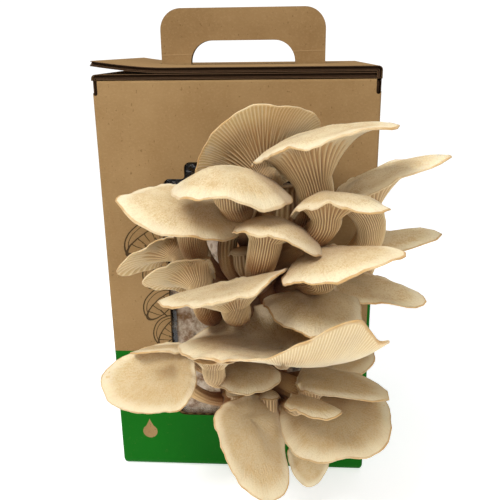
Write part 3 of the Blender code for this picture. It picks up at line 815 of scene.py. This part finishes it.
def boardObject(name, parts, finishes):
    # several sheets, each with the place of its finish, as one object; rims take the last finish
    verts, faces, kinds = [], [], []
    for kind, (someVerts, skins, rims) in parts:
        for some, how in ((skins, kind), (rims, len(finishes) - 1)):
            faces += [tuple(i + len(verts) for i in face) for face in some]
            kinds += [how] * len(some)
        verts += list(someVerts)
    mesh = bpy.data.meshes.new(name)
    mesh.from_pydata([tuple(np.array(v) * mm) for v in verts], [], faces)
    for finish in finishes:
        mesh.materials.append(finish.material)
    mesh.polygons.foreach_set("material_index", kinds)
    builder = bmesh.new()
    builder.from_mesh(mesh)
    loose = [v for v in builder.verts if not v.link_faces]
    bmesh.ops.delete(builder, geom=loose, context="VERTS")
    bmesh.ops.recalc_face_normals(builder, faces=list(builder.faces))
    builder.to_mesh(mesh)
    builder.free()
    obj = bpy.data.objects.new(name, mesh)
    bpy.context.scene.collection.objects.link(obj)
    return obj


def prism(name, loops, low, high, finishes):
    # an upright cutter: closed outlines in x and z run from low to high along y
    parts = []
    for loop in loops:
        count = len(loop)
        verts = [(x, low, z) for x, z in loop] + [(x, high, z) for x, z in loop]
        faces = [tuple(range(count)), tuple(range(2 * count - 1, count - 1, -1))]
        faces += [(i, count + i, count + (i + 1) % count, (i + 1) % count) for i in range(count)]
        parts.append((0, (verts, [], faces)))
    return boardObject(name, parts, finishes)


def cutWith(obj, cutter, operation):
    modifier = obj.modifiers.new(operation, "BOOLEAN")
    modifier.operation, modifier.solver, modifier.object = operation, "EXACT", cutter
    bpy.context.view_layer.update()
    graph = bpy.context.evaluated_depsgraph_get()
    mesh = bpy.data.meshes.new_from_object(obj.evaluated_get(graph))
    obj.modifiers.clear()
    obj.data = mesh
    bpy.data.objects.remove(cutter, do_unlink=True)


def arc(x, z, radius, start, sweep=90, steps=7):
    turns = [math.radians(start + sweep * k / steps) for k in range(steps + 1)]
    return [(x + radius * math.cos(turn), z + radius * math.sin(turn)) for turn in turns]


def roundedLoop(left, right, low, high, radii, steps=12):
    # a rectangle with its own radius at each corner: low left, low right, high right, high left
    corners = [(left, low, 180), (right, low, 270), (right, high, 0), (left, high, 90)]
    loop = []
    for (x, z, start), radius in zip(corners, radii):
        loop += arc(x + radius if x == left else x - radius, z + radius if z == low else z - radius,
                    radius, start, steps=steps)
    return loop


def windowLoop():
    # the window with the narrower thumb tab above it
    half, low, high, radius = carton["window"]
    tabHalf, tabTop, tabRadius = carton["tab"]
    upper, inside = 4, 2        # radii at the window's top and where the tab leaves it
    return (arc(-half + radius, low + radius, radius, 180)
            + arc(half - radius, low + radius, radius, 270)
            + arc(half - upper, high - upper, upper, 0)
            + arc(tabHalf + inside, high + inside, inside, 270, -90, 4)
            + arc(tabHalf - tabRadius, tabTop - tabRadius, tabRadius, 0)
            + arc(-tabHalf + tabRadius, tabTop - tabRadius, tabRadius, 90)
            + arc(-tabHalf - inside, high + inside, inside, 0, -90, 4)
            + arc(-half + upper, high - upper, upper, 90))


skin = 0.1       # half the thickness of a board's wavy middle sheet


def wallRun(side):
    return (carton["depth"] if side % 2 else carton["width"]) - 2 * carton["fold"]


def flute(turns, shift, slack=0.16, phase=0.0):
    # depth of one face of a board's wavy middle sheet, so many turns along it
    swing = (carton["board"] - 2 * carton["liner"]) / 2 - slack
    return carton["board"] / 2 + shift + swing * math.sin(2 * math.pi * turns + phase)


def ringStations(flutes=0):
    # places round the four walls: each is a side, a way along it, and 0 or the turn at its corner
    stations = []
    for side in range(4):
        steps = max(6, round(wallRun(side) / carton["pitch"]) * flutes)
        stations += [(side, k / steps, 0.0) for k in range(steps)]
        stations += [(side, 1.0, 90 * k / 4) for k in range(4)]
    return stations


def ringPoint(station, inset):
    # a point on the walls' outline, moved in by inset
    side, along, turned = station
    halfW, halfD = carton["width"] / 2 - inset, carton["depth"] / 2 - inset
    radius = max(carton["fold"] - inset, 0.25)
    corners = [(-halfW, -halfD), (halfW, -halfD), (halfW, halfD), (-halfW, halfD)]
    way = [(1, 0), (0, 1), (-1, 0), (0, -1)][side]
    start, stop = corners[side], corners[(side + 1) % 4]
    if turned:
        back = [(1, 1), (-1, 1), (-1, -1), (1, -1)][(side + 1) % 4]
        centre = [stop[i] + back[i] * radius for i in (0, 1)]
        angle = math.radians(-90 + 90 * side + turned)
        return (centre[0] + radius * math.cos(angle), centre[1] + radius * math.sin(angle))
    run = [stop[i] - start[i] - 2 * radius * way[i] for i in (0, 1)]
    return tuple(start[i] + way[i] * radius + run[i] * along for i in (0, 1))


def buildWalls(printed, plain, core):
    board, liner, height = carton["board"], carton["liner"], carton["height"]
    foot, lean, halfD = carton["foot"], carton["lean"], carton["depth"] / 2
    stations = ringStations()

    def place(station, v, depth):
        # straight up, tucked in round the foot and leaning in at the folded top
        if v < foot:
            turn = (foot - v) / foot * math.pi / 2
            inset = foot - (foot - depth) * math.cos(turn)
            v = foot - (foot - depth) * math.sin(turn)
        else:
            inset = depth
        x, y = ringPoint(station, inset)
        over = max(0.0, v - (height - lean)) / lean
        return (x, y * (1 - 0.010 * over * over), v)

    low = [foot * k / 5 for k in range(6)]
    high = [carton["band"][0], 190.0, height - lean, height - lean / 2, height]
    parts = [(0, lattice(stations, low + high, 0.0, liner, place, True)),
             (1, lattice(stations, [foot] + high, board - liner, board, place, True))]

    def middle(shift):
        return lambda at: flute(at[1] * round(wallRun(at[0]) / carton["pitch"]), shift)

    parts.append((2, lattice(ringStations(8), [foot, height - lean], middle(-skin), middle(skin),
                             place, True)))
    finishes = [printed, plain, core]
    walls = boardObject("carton_walls", parts, finishes)
    half = carton["width"] / 2
    notches = [[(side * (half - inward), height + up) for inward, up in carton["notch"]][::side]
               for side in (-1, 1)]
    for name, loops, depth in (("windowCutter", [windowLoop()], 9),
                               ("notchCutter", notches, board + 0.3)):
        cutWith(walls, prism(name, loops, -halfD - 9, -halfD + depth, finishes), "DIFFERENCE")
    return walls


def buildFloorAndDust(plain, core):
    # bottom panel, and the front and back panels' tops folded in under the lid
    board, height = carton["board"], carton["height"]
    halfW, halfD = carton["width"] / 2, carton["depth"] / 2
    foot, seam, slot = carton["foot"] * 0.98, 0.35, 3.6
    parts = []

    def panel(x, lowY, highY, low, high):
        parts.append((0, lattice([-x, x], [lowY, highY], low, high, lambda u, v, z: (u, v, z))))

    panel(halfW - foot, -halfD + foot, -seam, 0.0, board - 0.4)
    panel(halfW - foot, seam, halfD - foot, 0.0, board - 0.4)
    panel(halfW - board, -halfD + board, halfD - board, board - 0.3, board)
    panel(halfW - slot, -halfD + 0.9, -slot, height - board + 0.2, height)
    panel(halfW - slot, slot, halfD - 0.9, height - board + 0.2, height)
    return boardObject("carton_floor", parts, [plain, core])


def lidProfile(side, level, end, lift):
    # the line of a lid flap's outer face: up the side wall, round the fold and across the top
    half, radius = carton["width"] / 2, carton["lidFold"]
    points = [(half, carton["height"])]
    points += arc(half - radius, level + carton["board"] - radius, radius, 0, steps=8)
    points = [(side * x, z) for x, z in points]
    start = half - radius
    for k in range(1, 31):
        x = start + (end - start) * k / 30
        past = max(0.0, carton["liftFrom"] - x) / (half + carton["liftFrom"]) if lift else 0.0
        points.append((side * x, level + carton["board"] + lift * past ** 1.6))
    return points


def buildFlap(name, side, level, end, lift, plain, core):
    board, liner = carton["board"], carton["liner"]
    profile = np.array(lidProfile(side, level, end, lift))
    run = np.gradient(profile, axis=0)
    run /= np.linalg.norm(run, axis=1)[:, None]
    inward = np.column_stack([-run[:, 1], run[:, 0]]) * side
    halfD = carton["depth"] / 2 - 0.1

    def place(u, v, depth):
        spot = profile[int(v)] + inward[int(v)] * depth
        return (spot[0], u, spot[1])

    vs = list(range(len(profile)))
    slotX = carton["handle"][0] / 2 + carton["slot"][0]
    slotY = board + carton["slot"][1]
    us = [-halfD, -slotY, slotY, halfD]

    def keep(i, j):
        # leaves out the slot that the handle stands in
        return not (i == 1 and max(abs(profile[j][0]), abs(profile[j + 1][0])) < slotX)

    parts = [(0, lattice(us, vs, 0.0, liner, place, keep=keep)),
             (0, lattice(us, vs, board - liner, board, place, keep=keep))]
    pitch = 2 * halfD / round(2 * halfD / carton["pitch"])

    def middle(shift):
        return lambda u: flute((u + halfD) / pitch, shift, phase=0.6)

    for low, high in ((-halfD, -slotY), (slotY, halfD)):
        steps = round((high - low) / pitch * 8)
        some = [low + (high - low) * k / steps for k in range(steps + 1)]
        parts.append((1, lattice(some, vs, middle(-skin), middle(skin), place)))
    return boardObject(name, parts, [plain, core])


def buildHandle(plain, core):
    width, top, strip, leg, outer, inner = carton["handle"]
    board, liner = carton["board"], carton["liner"]
    half, low = width / 2, carton["height"] - 2.0
    reach, gap = half + 2, 0.12      # the sheet before its outline is cut, and half the seam
    lid = carton["height"] + 2 * (board + carton["flapGap"])
    outline = roundedLoop(-half, half, low, top, (0.4, 0.4, outer, outer))
    hole = roundedLoop(-half + leg, half - leg, lid - 7, top - strip, (1, 1, inner, inner))
    count = round(2 * reach / carton["pitch"])
    fine = [-reach + 2 * reach * k / (count * 8) for k in range(count * 8 + 1)]

    def middle(shift):
        return lambda u: flute(u * count / (2 * reach), shift - gap / 2, 0.2, 0.4)

    handles = []
    for name, side in (("front", -1), ("back", 1)):
        def place(u, v, depth):
            return (u, side * (depth + gap), v)

        us, vs = [-reach, reach], [low - 1, top + 2]
        parts = [(0, lattice(us, vs, 0.0, liner, place)),
                 (0, lattice(us, vs, board - liner - gap, board - gap, place)),
                 (1, lattice(fine, vs, middle(-skin), middle(skin), place))]
        made = boardObject("carton_handle_" + name, parts, [plain, core])
        cutWith(made, prism("handleOutline", [outline], -9, 9, [plain, core]), "INTERSECT")
        cutWith(made, prism("handleHole", [hole], -10, 10, [plain, core]), "DIFFERENCE")
        handles.append(made)
    return handles


printed, plain, core = printedFinish(), plainFinish(), edgeFinish()
boards = [buildWalls(printed, plain, core), buildFloorAndDust(plain, core)]
lower = carton["height"] + carton["flapGap"]
upper = lower + carton["board"] + carton["flapGap"]
lowerEnd, upperEnd = carton["lidEnds"]
boards.append(buildFlap("carton_lid_lower", -1, lower, lowerEnd, 0.0, plain, core))
boards.append(buildFlap("carton_lid_upper", 1, upper, upperEnd, carton["lift"], plain, core))
boards += buildHandle(plain, core)
for board in boards:
    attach(board, "root")
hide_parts("carton")
print("carton folded:", len(boards), "boards")


def studio():
    # lamps: watts, place and size; world and backdrop: strength as lit, and as the camera sees it
    light = {"key": (18, (-0.55, -0.80, 1.35), 0.55), "fill": (5.5, (0.40, -1.15, 0.70), 0.9),
             "top": (6, (0.1, 0.05, 1.5), 1.0), "aim": (0, -0.08, 0.15), "world": 0.21,
             "backdrop": 1.1, "floorGlow": 0.62, "floorHalf": 0.9}
    ground = Finish("studioFloor", Roughness=0.9, Emission_Strength=light["floorGlow"])
    ground.shader.inputs["Emission Color"].default_value = (1, 1, 1, 1)
    here = ground.place()
    ground.feed(Base_Color=ground.mix(ground.noise(here, 3.0), tint(226, 226, 226),
                                      tint(230, 230, 230)))
    mesh = bpy.data.meshes.new("studio_floor")
    half = light["floorHalf"]
    mesh.from_pydata([(-half, -half, 0), (half, -half, 0), (half, half, 0), (-half, half, 0)],
                     [], [(0, 1, 2, 3)])
    mesh.materials.append(ground.material)
    floor = bpy.data.objects.new("studio_floor", mesh)
    bpy.context.scene.collection.objects.link(floor)
    for name in ("key", "fill", "top"):
        power, spot, size = light[name]
        lamp = bpy.data.lights.new(name, "AREA")
        lamp.energy, lamp.size = power, size
        holder = bpy.data.objects.new(name, lamp)
        holder.location = spot
        aim = Vector(light["aim"]) - Vector(spot)
        holder.rotation_euler = aim.to_track_quat("-Z", "Y").to_euler()
        bpy.context.scene.collection.objects.link(holder)
    world = bpy.data.worlds.new("studio")
    bpy.context.scene.world = world
    world.use_nodes = True
    tree = world.node_tree
    soft, seen = tree.nodes["Background"], tree.nodes.new("ShaderNodeBackground")
    for source, colour, strength in ((soft, (1, 0.985, 0.965, 1), light["world"]),
                                     (seen, (1, 1, 1, 1), light["backdrop"])):
        source.inputs[0].default_value, source.inputs[1].default_value = colour, strength
    path, both = tree.nodes.new("ShaderNodeLightPath"), tree.nodes.new("ShaderNodeMixShader")
    tree.links.new(path.outputs["Is Camera Ray"], both.inputs[0])
    tree.links.new(soft.outputs[0], both.inputs[1])
    tree.links.new(seen.outputs[0], both.inputs[2])
    tree.links.new(both.outputs[0], tree.nodes["World Output"].inputs[0])


def placeCamera():
    view = {"spot": (0.0337, -0.4699, 0.3010), "heading": 3.70, "down": 17.93, "roll": -0.67,
            "lens": 44.76}
    camera = bpy.data.cameras.new("camera")
    camera.lens, camera.sensor_width, camera.clip_start = view["lens"], 36.0, 0.01
    holder = bpy.data.objects.new("camera", camera)
    turn = Matrix.Rotation(math.radians(view["heading"]), 4, "Z") \
        @ Matrix.Rotation(math.radians(90 - view["down"]), 4, "X") \
        @ Matrix.Rotation(math.radians(view["roll"]), 4, "Z")
    holder.matrix_world = Matrix.Translation(view["spot"]) @ turn
    bpy.context.scene.collection.objects.link(holder)
    bpy.context.scene.camera = holder


bpy.context.scene.view_settings.view_transform = "Standard"
studio()
placeCamera()
print("studio set")
